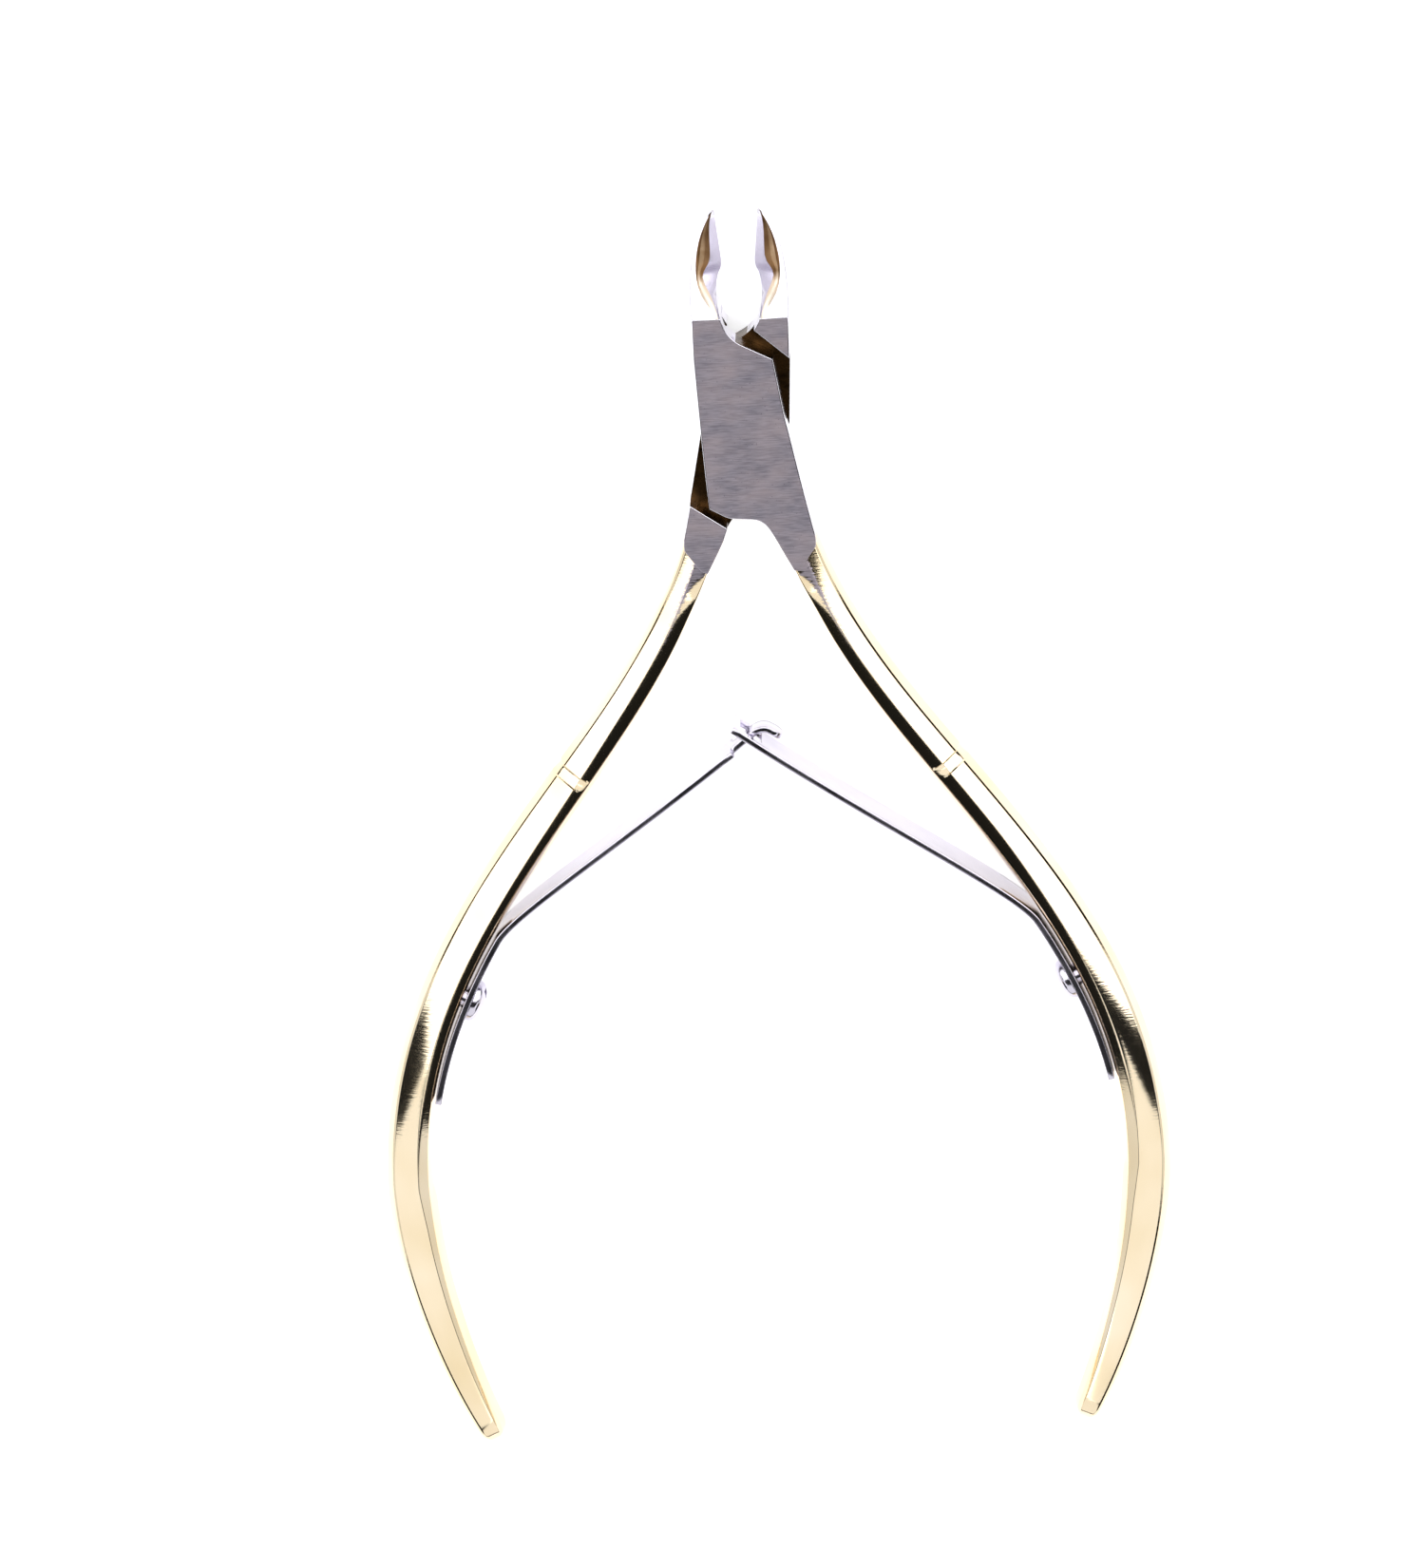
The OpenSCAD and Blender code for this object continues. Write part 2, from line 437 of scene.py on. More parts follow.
class Finish:
    """A finish with one shader all over."""

    name: str

    def shader(self, tree: Tree) -> Socket:
        """Adds the finish's nodes to a tree and returns the shader's socket."""
        raise NotImplementedError

    def build(self) -> Material:
        """Makes the material."""
        material = bpy.data.materials.new(self.name)
        material.use_nodes = True
        tree = material.node_tree
        tree.nodes.clear()
        add(tree, "OutputMaterial", Surface=self.shader(tree))
        return material


@dataclass(frozen=True)
class GroundSteel(Finish):
    """Surface-ground stainless steel: grey, with fine straight lines across the joint.

    The lines are drawn coarser than the wheel's grit, so that they show.
    """

    dark: str = "#948F9B"
    light: str = "#BCB5C2"
    warm: str = "#B0A1A3"
    fleck: str = "#5B5662"
    line_mm: float = 0.08
    line_length_mm: float = 0.9
    roughness: float = 0.42
    name: str = "surface_ground_steel"

    def shader(self, tree: Tree) -> Socket:
        """Adds the ground steel to a tree and returns the shader's socket."""
        lines = stretched(tree, (self.line_length_mm, self.line_mm, 1.0), 1.0, 4.0)
        blotch = stretched(tree, (2.4, 1.6, 2.0), 3.0)
        specks = stretched(tree, (0.16, 0.16, 0.16), 0.0)
        tone = dappled(tree, lines, linear(self.dark), self.light)
        tone = dappled(tree, blotch, tone, self.warm, (0.0, 0.6))
        tone = dappled(tree, specks, tone, self.fleck, (0.0, 0.5), (0.79, 0.83))
        return metal(tree, tone, lines, 0.25, 0.008, blotch, self.roughness, (-0.03, 0.04))


@dataclass(frozen=True)
class GoldPlate(Finish):
    """Thin pale gold electroplate over mopped steel: bright, with hair-fine mop marks across.

    It is ground through where the joint's faces, one thickness apart, run into the handles.
    """

    thickness: float
    ground: GroundSteel
    colour: str = "#F4E5CB"
    deep: str = "#E6D2AC"
    mop_mm: float = 0.14
    mop_length_mm: float = 1.6
    roughness: float = 0.08
    ragged_mm: float = 0.05
    fade_mm: tuple[float, float] = (0.1, 0.05)
    root_end_mm: tuple[float, float] = (-18.5, -13.0)
    name: str = "pale_gold_electroplate"

    def plate(self, tree: Tree) -> Socket:
        """Adds the plate to a tree and returns the shader's socket."""
        marks = stretched(tree, (self.mop_length_mm, self.mop_mm, 0.9))
        cloud = stretched(tree, (7.0, 9.0, 6.0))
        tone = dappled(tree, cloud, linear(self.colour), self.deep)
        return metal(tree, tone, marks, 0.3, 0.01, cloud, self.roughness, (-0.02, 0.03))

    def shader(self, tree: Tree) -> Socket:
        """Adds the plate, with steel where the grinder reached, and returns its socket."""
        place = add(tree, "TexCoord").outputs["Object"]
        split = add(tree, "SeparateXYZ", Vector=place)
        half = self.thickness / 2 * MM
        off_middle = add(tree, "Math", {"operation": "SUBTRACT"}, n0=split.outputs[2],
                         n1=half)
        height = add(tree, "Math", {"operation": "ABSOLUTE"}, n0=off_middle.outputs[0])
        ragged = add(tree, "MapRange", n0=stretched(tree, (1.1, 0.13, 1.0)),
                     n1=NOISE_SPAN[0], n2=NOISE_SPAN[1], n3=-self.ragged_mm * MM,
                     n4=self.ragged_mm * MM)
        shifted = add(tree, "Math", {"operation": "ADD"}, n0=height.outputs[0],
                      n1=ragged.outputs[0])
        reached = add(tree, "MapRange", n0=shifted.outputs[0],
                      n1=half - self.fade_mm[0] * MM, n2=half - self.fade_mm[1] * MM)
        root_end = add(tree, "MapRange", n0=split.outputs[1],
                       n1=self.root_end_mm[0] * MM, n2=self.root_end_mm[1] * MM)
        mask = add(tree, "Math", {"operation": "MULTIPLY"}, n0=reached.outputs[0],
                   n1=root_end.outputs[0])
        mixed = add(tree, "MixShader", n0=mask.outputs[0], n1=self.plate(tree),
                    n2=self.ground.shader(tree))
        return mixed.outputs[0]


@dataclass(frozen=True)
class DullPlate(Finish):
    """Gold plate that no mop reached: matt, with painted shade: a darker colour and darker patches
    stand in for shade and dark reflections.
    """

    colour: str
    shade_patches: str
    roughness: float
    name: str
    pale: str = "#E4D8CA"
    pale_mm: tuple[float, float] | None = None
    grain_mm: float = 0.12

    def shader(self, tree: Tree) -> Socket:
        """Adds the plate to a tree, paler below the span of y in pale_mm."""
        # The base colour and its darker patches are painted shade.
        shade_patches = stretched(tree, (1.8, 1.2, 1.5), 3.0)
        grain = stretched(tree, (self.grain_mm,) * 3)
        tone = dappled(tree, shade_patches, linear(self.colour), self.shade_patches)
        if self.pale_mm:
            place = add(tree, "TexCoord").outputs["Object"]
            split = add(tree, "SeparateXYZ", Vector=place)
            span = (self.pale_mm[0] * MM, self.pale_mm[1] * MM)
            tone = dappled(tree, split.outputs[1], tone, self.pale, (1.0, 0.0), span)
        return metal(tree, tone, grain, 0.4, 0.012, shade_patches, self.roughness, (-0.05, 0.07))


@dataclass(frozen=True)
class PolishedSteel(Finish):
    """Stainless steel polished bright on a felt wheel, with a faint cross grain."""

    colour: str = "#E3E0E8"
    shade: str = "#BDB8C8"
    grain_mm: tuple[float, float, float] = (1.4, 0.1, 1.0)
    roughness: float = 0.16
    bump: float = 0.2
    name: str = "polished_steel"

    def shader(self, tree: Tree) -> Socket:
        """Adds the polished steel to a tree and returns the shader's socket."""
        grain = stretched(tree, self.grain_mm)
        cloud = stretched(tree, (3.0, 3.0, 3.0))
        tone = dappled(tree, cloud, linear(self.colour), self.shade, (0.0, 0.25))
        return metal(tree, tone, grain, self.bump, 0.01, cloud, self.roughness, (-0.04, 0.04))


@dataclass(frozen=True)
class LitCard(Finish):
    """Matt white acrylic, softly lit from below, that the tool lies on."""

    colour: str = "#E4E4E5"
    shade: str = "#DFDFE1"
    glow: float = 0.62
    name: str = "backlit_white_acrylic"

    def shader(self, tree: Tree) -> Socket:
        """Adds the card's acrylic to a tree and returns the shader's socket."""
        tone = dappled(tree, stretched(tree, (3.0, 3.0, 3.0)), linear(self.colour), self.shade,
                       (0.0, 0.3))
        return add(tree, "BsdfPrincipled", Base_Color=tone, Roughness=0.9,
                   Emission_Color=linear("#FFFFFF"), Emission_Strength=self.glow).outputs[0]


# ---------- the forgings


@dataclass
class Handle:
    """The bowed handle, as the right one: a bar with an off-centre ridge on each face.

    Places along it run from 0 at the joint through 1 at the widest place to 2 at the end. Each
    table has rows of (place, value). Depths are in millimetres from the outer edge, and tilts
    are the slopes of the facets beside a ridge, in degrees. The edge radii run from the outer
    side inwards. The seam is a press mark across the outer facets.
    """

    thickness: float
    upper: tuple = (Vector((5, -8.1)), Vector((9.9, -25.2)), Vector((31.2, -37.1)),
                    Vector((31.2, -60.9)))
    lower: tuple = (Vector((31.2, -60.9)), Vector((31.2, -67)), Vector((28.2, -76.4)),
                    Vector((24.3, -82.8)))
    widths: tuple = ((0, 2.6), (0.1, 2.6), (0.17, 2.8), (0.25, 3.15), (0.35, 3.5), (0.5, 3.65),
                     (0.66, 3.5), (0.9, 3.5), (1.1, 4), (1.5, 3.5), (2, 2.5))
    heights: tuple = ((0, 0.985), (0.2, 1.0), (1.4, 1.0), (2, 0.84))
    outer_depth: tuple = ((0, 0.12), (0.15, 0.2), (0.3, 0.3), (0.8, 0.38), (1.1, 0.5), (2, 0.4))
    front_ridge: tuple = ((0, 1.3), (0.13, 1.55), (0.3, 1.7), (0.5, 1.85), (0.64, 2.15),
                          (0.8, 2.3), (0.9, 2.38), (1, 2.6), (1.1, 2.8), (1.2, 2.9), (1.3, 2.86),
                          (1.5, 2.68), (2, 1.8))
    back_ridge: tuple = ((0, 1.3), (0.13, 1.5), (0.3, 1.75), (0.37, 1.95), (0.47, 2.2),
                         (0.62, 2.4), (0.9, 2.48), (1, 2.62), *front_ridge[8:])
    inner_depth: tuple = ((0, 2.5), (0.1, 2.5), (0.17, 2.62), (0.3, 2.8), (0.5, 2.95), (0.8, 3.2),
                          (0.9, 3.28), (1, 3.45), (1.1, 3.5), (1.5, 3.1), (2, 2.1))
    outer_tilt: tuple = ((0, 22), (0.12, 26), (0.3, 27), (0.8, 26), (0.95, 24), (1.1, 22),
                         (2, 21))
    inner_tilt: tuple = ((0, 1), (0.05, 3), (0.1, 24), (0.14, 30), (0.85, 31), (1, 37),
                         (1.3, 41), (1.65, 42), (1.85, 50), (2, 54))
    crown: tuple = ((0, 8), (0.9, 9), (1.05, 4), (2, 4))
    chamfer: float = 0.22
    edge_radii: tuple = (0.08, 0.1, 0.035, 0.14)
    side_radius: float = 0.6
    upper_length: float = 63.0
    round_from: float = 1.94
    seam_width: float = 1.15
    seam_depth: float = 0.26
    seam_at: float = 0.395
    seam_reach: float = 0.3
    side_sunk: float = 0.6

    def edge(self, s: float) -> Vector:
        """Point on the outer edge at place s."""
        return bezier(self.upper, s) if s <= 1 else bezier(self.lower, s - 1)

    def along(self, s: float) -> Vector:
        """Unit direction of the handle at place s, away from the joint."""
        raw = bezier_slope(self.upper, s) if s <= 1 else bezier_slope(self.lower, s - 1)
        return raw.normalized()

    def inward(self, s: float) -> Vector:
        """Unit direction at place s towards the other handle."""
        d = self.along(s)
        return Vector((d.y, -d.x))

    def inside(self, s: float, depth: float) -> Vector:
        """Point at place s, from 0 on the outer edge to 1 on the inner edge."""
        return self.edge(s) + self.inward(s) * flowing(s, self.widths) * depth

    def end_share(self, s: float) -> float:
        """Share of the full section that is left at place s by the rounded end."""
        if s <= self.round_from:
            return 1.0
        past = (s - self.round_from) / (2.0 - self.round_from)
        return math.sqrt(max(0.0, 1 - past * past))

    def face(self, s: float, ridges: tuple) -> list[tuple[float, float, float]]:
        """Corners of one face's half of the section at place s.

        Args:
            s: Place along the handle.
            ridges: Depths of this face's ridge.

        Returns:
            Rows of (u, v, radius) from the outer side inwards, where u is the distance from
            the middle of the width towards the outer side, and v is the height.
        """
        width = flowing(s, self.widths)
        top = flowing(s, self.heights) * self.thickness / 2
        ridge = flowing(s, ridges)
        outer, inner = flowing(s, self.outer_depth), flowing(s, self.inner_depth)
        upper = outer + self.chamfer
        outer_fall = (ridge - upper) * math.tan(math.radians(flowing(s, self.outer_tilt)))
        inner_fall = (inner - ridge) * math.tan(math.radians(flowing(s, self.inner_tilt)))
        inner = min(inner, width - 0.02)
        heights = (top - outer_fall - self.chamfer, top - outer_fall, top, top - inner_fall)
        return [(width / 2 - depth, height, radius) for depth, height, radius
                in zip((outer, upper, ridge, inner), heights, self.edge_radii)]

    def crowned(self, start: Vector, end: Vector, crown: float) -> list[Vector]:
        """Crowns the facet between two corners.

        Args:
            start: Where the facet starts.
            end: Where it ends.
            crown: How far its slope turns from start to end, in degrees.

        Returns:
            Points between the two, bulged outwards.
        """
        run = end - start
        out = Vector((run.y, -run.x)) * math.radians(crown) / 2
        return [start + run * t + out * t * (1 - t) for t in (0.2, 0.4, 0.6, 0.8)]

    def ring(self, s: float, sunk: float) -> list[Vector]:
        """Points of the section at place s.

        Args:
            s: Place along the handle.
            sunk: How far the outer facets are pressed in here.

        Returns:
            The rounded section, in space.
        """
        width, share, crown = flowing(s, self.widths), self.end_share(s), flowing(s, self.crown)
        pressed = -self.seam_reach * width
        front = [(u, v - sunk * (u > pressed), r) for u, v, r in self.face(s, self.front_ridge)]
        back = [(u, -v + sunk * (u > pressed), r) for u, v, r in self.face(s, self.back_ridge)]
        corners = [(width / 2 - sunk * self.side_sunk, 0, self.side_radius), *front,
                   (-width / 2, 0, self.side_radius), *reversed(back)]
        flat = rounded([(u, v, r * share) for u, v, r in corners])
        arcs = [flat[k:k + ARC_STEPS + 1] for k in range(0, len(flat), ARC_STEPS + 1)]
        outline: list[Vector] = []
        for arc, following in zip(arcs, arcs[1:] + arcs[:1]):
            outline += arc + self.crowned(arc[-1], following[0], crown)
        middle, inward = self.inside(s, 0.5), self.inward(s)
        points = []
        for p in outline:
            q = middle - inward * p.x * share
            points.append(Vector((q.x, q.y, self.thickness / 2 + p.y * share)))
        return points

    def places(self) -> list[tuple[float, float]]:
        """Places to put a ring at, each with how far it is pressed in."""
        seam = self.seam_width / (2 * self.upper_length)
        plain = [k / 80 for k in range(81) if abs(k / 80 - self.seam_at) > seam * 1.6]
        pressed = [(self.seam_at + seam * k, self.seam_depth * d)
                   for k, d in ((-1.3, 0), (-1, 0), (-0.85, 0.85), (-0.7, 1), (0.3, 0.65),
                                (0.8, 0.5), (1, 0), (1.3, 0))]
        tail = [1 + (self.round_from - 1) * k / 31 for k in range(1, 32)]
        end = [2 - (2 - self.round_from) * (1 - math.sin(math.radians(a)))
               for a in (20, 35, 50, 60, 70, 78, 84, 88)]
        return sorted([(s, 0.0) for s in plain + tail + end] + pressed)

    def build(self) -> Mesh:
        """Builds the right handle as one closed bar."""
        bm = bmesh.new()
        sweep(bm, [self.ring(s, sunk) for s, sunk in self.places()])
        return bm


@dataclass
class JointHead:
    """The flat joint: a lap on the front, with a full-thickness block at the jaw and the root.

    It is the front half's: left jaw block, front lap and right handle's root. Sizes are in
    millimetres, and outlines are rows of (x, y, corner radius).
    """

    thickness: float
    lap_gap: float = 0.06
    overlap: float = 0.6
    eased: float = 0.09
    lap: Outline = ((-3.83, 9.2, 0), (-3.78, 5.8, 0), (-3.5, 0.2, 2), (-3.3, -3, 2),
                    (-3.1, -6.2, 0.12), (-1.6, -7.05, 0.5), (1.1, -7.25, 0.9), (2, -8.7, 1),
                    (2.6, -9.9, 1), (3.45, -11.5, 0.1), (4.0, -11.25, 0.3), (5.25, -9.5, 0.3),
                    (5.2, -8.6, 0), (4.6, -5.87, 1), (4, -2.9, 2), (3.45, -0.1, 1),
                    (3.2, 1, 1), (2.45, 5.8, 0.12), (-0.3, 7.2, 0.4), (-1.05, 7.9, 0.7),
                    (-1.5, 9.0, 0.2), (-1.55, 9.2, 0))
    jaw_block: Outline = ((-3.83, 9.15, 0), (-3.78, 5.8, 0), (-1.05, 8.2, 0.1),
                          (-1.5, 9.0, 0.2), (-1.53, 9.15, 0))
    root_block: Outline = ((4.6, -5.87, 0), (4.05, -6.248, 0), (1.72, -7.85, 0.1), *lap[7:13])

    def finish(self, face: bmesh.types.BMFace) -> int:
        """Place of the finish that a face of the joint has."""
        middle = face.calc_center_median()
        flat = abs(face.normal.z) > 0.98
        if flat and min(middle.z, self.thickness - middle.z) < 0.05:
            return Slot.GROUND.value
        n = face.normal
        jaw_shoulder = middle.y > 5 and n.x > 0.3 and n.y < -0.3
        root_shoulder = middle.y < -5 and middle.x < 4.05 and n.x < -0.3 and n.y > 0.3
        top_wall = 5 < middle.y < 7.3 and n.y > 0.7
        # The recess faces get the plate with painted shade.
        if flat or jaw_shoulder or root_shoulder or top_wall:
            return Slot.RECESS.value
        return Slot.POLISHED.value if middle.y > -8.6 else Slot.GOLD.value

    def solid(self, outline: Outline, low: float, high: float) -> Mesh:
        """Extrudes one outline, eases its outer rims and marks its finishes.

        Args:
            outline: The solid's outline.
            low: Height of its underside.
            high: Height of its top.

        Returns:
            A closed mesh.
        """
        bm = prism(rounded(outline), low, high)
        rim = high if high == self.thickness else low
        ease_edges(bm, lambda e: all(abs(v.co.z - rim) < 1e-6 for v in e.verts), self.eased)
        for face in bm.faces:
            face.material_index = self.finish(face)
        return bm

    def build(self) -> list[Mesh]:
        """Builds the lap and both blocks."""
        middle = self.thickness / 2
        return [self.solid(self.lap, middle + self.lap_gap / 2, self.thickness),
                self.solid(self.jaw_block, 0.0, middle + self.overlap),
                self.solid(self.root_block, 0.0, middle + self.overlap)]


@dataclass
class Jaw:
    """The left jaw: a tapering horn, hollowed on its front, with a honed bevel at its edge.

    Each station is (y, outer side, hollow's outer lip, hollow's inner lip, cutting edge),
    in millimetres from the pivot and from the middle line of the open tool.
    """

    thickness: float
    tip_thickness: float = 1.9
    edge_height: float = 2.95
    hollow_depth: float = 0.42
    level_to: float = 9.05
    blade_from: float = 9.6
    blade_run: float = 3.0
    stations: tuple = (
        (9.0, 3.82, 1.9, 1.68, 1.52), (9.6, 3.88, 2.05, 1.76, 1.64),
        (10.2, 3.9, 2.45, 1.92, 1.75), (11.0, 3.88, 2.95, 2.22, 1.81),
        (11.8, 3.85, 3.22, 2.6, 1.76), (12.4, 3.81, 3.32, 2.8, 1.6),
        (12.8, 3.77, 3.34, 2.72, 1.4), (13.1, 3.73, 3.34, 2.56, 1.33),
        (13.5, 3.68, 3.32, 2.3, 1.33), (14.0, 3.6, 3.27, 2.16, 1.38),
        (14.6, 3.47, 3.16, 2.14, 1.44), (15.2, 3.3, 3.02, 2.15, 1.5),
        (15.8, 3.06, 2.82, 2.15, 1.56), (16.4, 2.76, 2.56, 2.12, 1.62),
        (16.9, 2.46, 2.3, 2.05, 1.66), (17.3, 2.16, 2.06, 1.95, 1.7),
        (17.6, 1.9, 1.86, 1.82, 1.74))

    def front(self, y: float) -> float:
        """Height of the outer lip at y: level at the joint, falling to the tip."""
        share = max(0.0, (y - self.level_to) / (self.stations[-1][0] - self.level_to))
        fall = (self.thickness - self.tip_thickness) / 2
        return self.thickness - 0.012 - fall * share

    def ring(self, station: Sequence[float]) -> list[Vector]:
        """Works out the jaw's section.

        Args:
            station: A row of stations.

        Returns:
            The section's points, from the cutting edge round the front.
        """
        y, outer, lip_out, lip_in, edge = station
        top = self.front(y)
        back = self.thickness - top
        blade = max(0.0, min(1.0, (y - self.blade_from) / self.blade_run))
        edge_z = (top - 0.12) * (1 - blade) + self.edge_height * blade
        lip_z = top - 0.22 * blade - 0.02
        width = lip_out - lip_in
        sunk = self.hollow_depth * min(1.0, width / 0.8) * (0.15 + 0.85 * blade)
        land = 0.3 * blade
        slim = outer - edge
        shape = [(edge, edge_z), (lip_in, lip_z), (lip_in + width * 0.15, lip_z - sunk * 0.62),
                 (lip_in + width * 0.4, lip_z - sunk), (lip_in + width * 0.75, lip_z - sunk * 0.6),
                 (lip_out, top), (outer - 0.05 * slim, top - 0.05), (outer, top - 0.32),
                 (outer, back + 0.32), (outer - 0.05 * slim, back + 0.05),
                 (outer - 0.2 * slim, back), (edge + 0.45 * slim * blade, back),
                 (edge + 0.04 * slim * blade, edge_z * (1 - blade) * 0.1 + (edge_z - land) * blade)]
        return [Vector((-x, y, z)) for x, z in shape]

    def build(self) -> Mesh:
        """Builds the left jaw and marks its hollow, bevel and polished sides."""
        bm = bmesh.new()
        rings = [self.ring(s) for s in self.stations]
        made = sweep(bm, rings)
        places = {vert: k for ring in made for k, vert in enumerate(ring)}
        hollow, bevel = {1, 2, 3, 4, 5}, {0, 1}
        for face in bm.faces:
            ks = {places[v] for v in face.verts}
            slot = Slot.POLISHED
            # The hollow's faces get the plate with painted shade.
            if ks <= hollow:
                slot = Slot.HOLLOW
            elif ks <= bevel:
                slot = Slot.HONED
            face.material_index = slot.value
        return bm


@dataclass
class Forging:
    """One half of the tool: jaw, joint and handle in a single shell."""

    name: str
    body: str
    node: str
    rear: bool
    handle: Handle
    head: JointHead
    jaw: Jaw

    def place(self, bm: Mesh, over: bool) -> Mesh:
        """Moves a front half's shape to this half.

        Args:
            bm: Shape of the front half.
            over: True to turn it over about the Y axis, False to mirror it in X.

        Returns:
            The same mesh, in place.
        """
        if not self.rear:
            return bm
        if over:
            bmesh.ops.transform(bm, matrix=turned_over(self.head.thickness), verts=bm.verts)
        else:
            bmesh.ops.scale(bm, vec=(-1, 1, 1), verts=bm.verts)
            bmesh.ops.recalc_face_normals(bm, faces=bm.faces)
        return bm

    def build(self, finishes: Sequence[Material]) -> Piece:
        """Joins the half's shapes and puts it in place of its CAD node.

        Args:
            finishes: Materials in the order of Slot.

        Returns:
            The finished piece.
        """
        solids = [self.place(bm, True) for bm in self.head.build()]
        solids.append(self.place(self.jaw.build(), False))
        solids.append(self.place(self.handle.build(), True))
        parts = [to_object(f"{self.name}_{k}", bm, finishes) for k, bm in enumerate(solids)]
        piece = combine(parts[0], parts[1:])
        piece.name = self.name
        polish_shading(piece)
        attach(piece, self.body)
        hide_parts(self.node)
        return piece


# ---------- springs, screws and rivet


class LeafEnd(Enum):
    """How a leaf spring's free end is cut."""

    SLOTTED = "slotted"
    TONGUED = "tongued"


@dataclass
class LeafSpring:
    """A bent steel strip, screwed to a handle and hooked to the other leaf.

    It is worked out for the right handle. The left one is turned over about the Y axis.
    """

    name: str
    side: str
    end: LeafEnd
    handle: Handle
    crossing: Vector
    width: float = 4.8
    sheet: float = 0.5
    gap: float = 0.03
    foot_end_at: float = 0.888
    bend_at: float = 0.64
    slot_length: float = 2.0
    slot_width: float = 3.0
    tongue_width: float = 2.2
    sag: float = 0.5
    shoulder_at: float = 0.955
    lead: float = 2.6
    blended: tuple[float, float] = (0.04, 0.75)
    eased: float = 0.06
    foot_steps: int = 16
    free_steps: int = 36

    def beside(self, s: float) -> Vector:
        """Point of the leaf's middle plane where it lies along the handle."""
        off = self.gap + self.sheet / 2
        return self.handle.inside(s, 1) + self.handle.inward(s) * off

    def free(self) -> list[Vector]:
        """Control points of the free length, from the bend to the crossing."""
        start = self.beside(self.bend_at)
        return [start, start - self.handle.along(self.bend_at) * self.lead,
                start * 0.45 + self.crossing * 0.55 + Vector((self.sag, -self.sag)),
                self.crossing]

    def path(self) -> list[Vector]:
        """Points along the whole strip, from its foot to the end of its hook or slot."""
        free = self.free()
        length = self.bend_at - self.foot_end_at
        foot = [self.beside(self.foot_end_at + length * k / self.foot_steps)
                for k in range(self.foot_steps + 1)]
        past = bezier_slope(free, 1).normalized()
        last = 1.0 if self.end is LeafEnd.SLOTTED else self.shoulder_at
        run = [bezier(free, 0.02 + (last - 0.02) * k / self.free_steps)
               for k in range(self.free_steps + 1)]
        if self.end is LeafEnd.SLOTTED:
            reach = self.slot_length / 2
            back = run[-1] - past * reach
            run = [p for p in run if (p - self.crossing).dot(past) < -reach - 0.1]
            return foot + run + [back, self.crossing, self.crossing + past * reach,
                                 self.crossing + past * (reach + 0.6)]
        tip = self.crossing + past * 1.1
        hook = [self.crossing, self.crossing + past * 0.75, tip + Vector((-0.4, -0.1)),
                tip + Vector((-0.95, -0.35)), tip + Vector((-1.7, -0.85))]
        curl = smooth_through([run[-1], *hook], 5)
        return foot + run + curl[1:]

    def build(self, finish: Material) -> Piece:
        """Builds the strip and puts it in place of its CAD nodes.

        Args:
            finish: The strip's material.

        Returns:
            The finished piece.
        """
        path = self.path()
        inner = self.slot_width if self.end is LeafEnd.SLOTTED else self.tongue_width
        across = [-self.width / 2, -inner / 2, 0, inner / 2, self.width / 2]
        middle = self.handle.thickness / 2
        bm = bmesh.new()
        made = bmesh.ops.create_grid(bm, x_segments=len(path) - 1, y_segments=len(across) - 1,
                                     size=1)["verts"]
        rows: dict[tuple[int, int], Vert] = {}
        for vert in made:
            i = round((vert.co.x + 1) / 2 * (len(path) - 1))
            j = round((vert.co.y + 1) / 2 * (len(across) - 1))
            rows[i, j] = vert
        for (i, j), vert in rows.items():
            vert.co = (path[i].x, path[i].y, middle + across[j])
        self.cut(bm, rows, len(path))
        if self.side == "left":
            bmesh.ops.transform(bm, matrix=turned_over(self.handle.thickness), verts=bm.verts)
        piece = to_object(self.name, bm, [finish])
        thick = piece.modifiers.new("sheet", "SOLIDIFY")
        thick.thickness, thick.offset, thick.use_even_offset = self.sheet * MM, 0.0, True
        eased = piece.modifiers.new("eased edges", "BEVEL")
        eased.width, eased.segments, eased.limit_method = self.eased * MM, 2, "ANGLE"
        eased.angle_limit = math.radians(40)
        polish_shading(piece)
        self.attach(piece)
        return piece

    def cut(self, bm: Mesh, rows: dict[tuple[int, int], Vert], count: int) -> None:
        """Cuts the slot, or narrows the strip to its tongue and rounds the tongue's tip.

        Args:
            bm: The flat strip.
            rows: Its vertices by (place along, place across).
            count: Number of places along.
        """
        if self.end is LeafEnd.SLOTTED:
            hole = {rows[i, j] for i in range(count - 4, count - 1) for j in (1, 2, 3)}
            faces = [f for f in bm.faces if set(f.verts) <= hole]
        else:
            shoulder = self.foot_steps + 1 + self.free_steps
            keep = {rows[i, j] for i in range(count) for j in (1, 2, 3)}
            free = {rows[i, j] for i in range(shoulder, count) for j in range(5)}
            faces = [f for f in bm.faces if set(f.verts) <= free and not set(f.verts) <= keep]
            middle = rows[count - 1, 2].co.z
            for i, share in ((count - 1, 0.35), (count - 2, 0.75), (count - 3, 0.93)):
                for j in (1, 3):
                    vert = rows[i, j]
                    vert.co.z = middle + (vert.co.z - middle) * share
        bmesh.ops.delete(bm, geom=faces, context="FACES")

    def attach(self, piece: Piece) -> None:
        """Bakes the strip's place into its mesh and hides its CAD nodes."""
        free = self.free()
        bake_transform(piece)
        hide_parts(f"{self.side}_spring_foot", f"{self.side}_spring_blade")


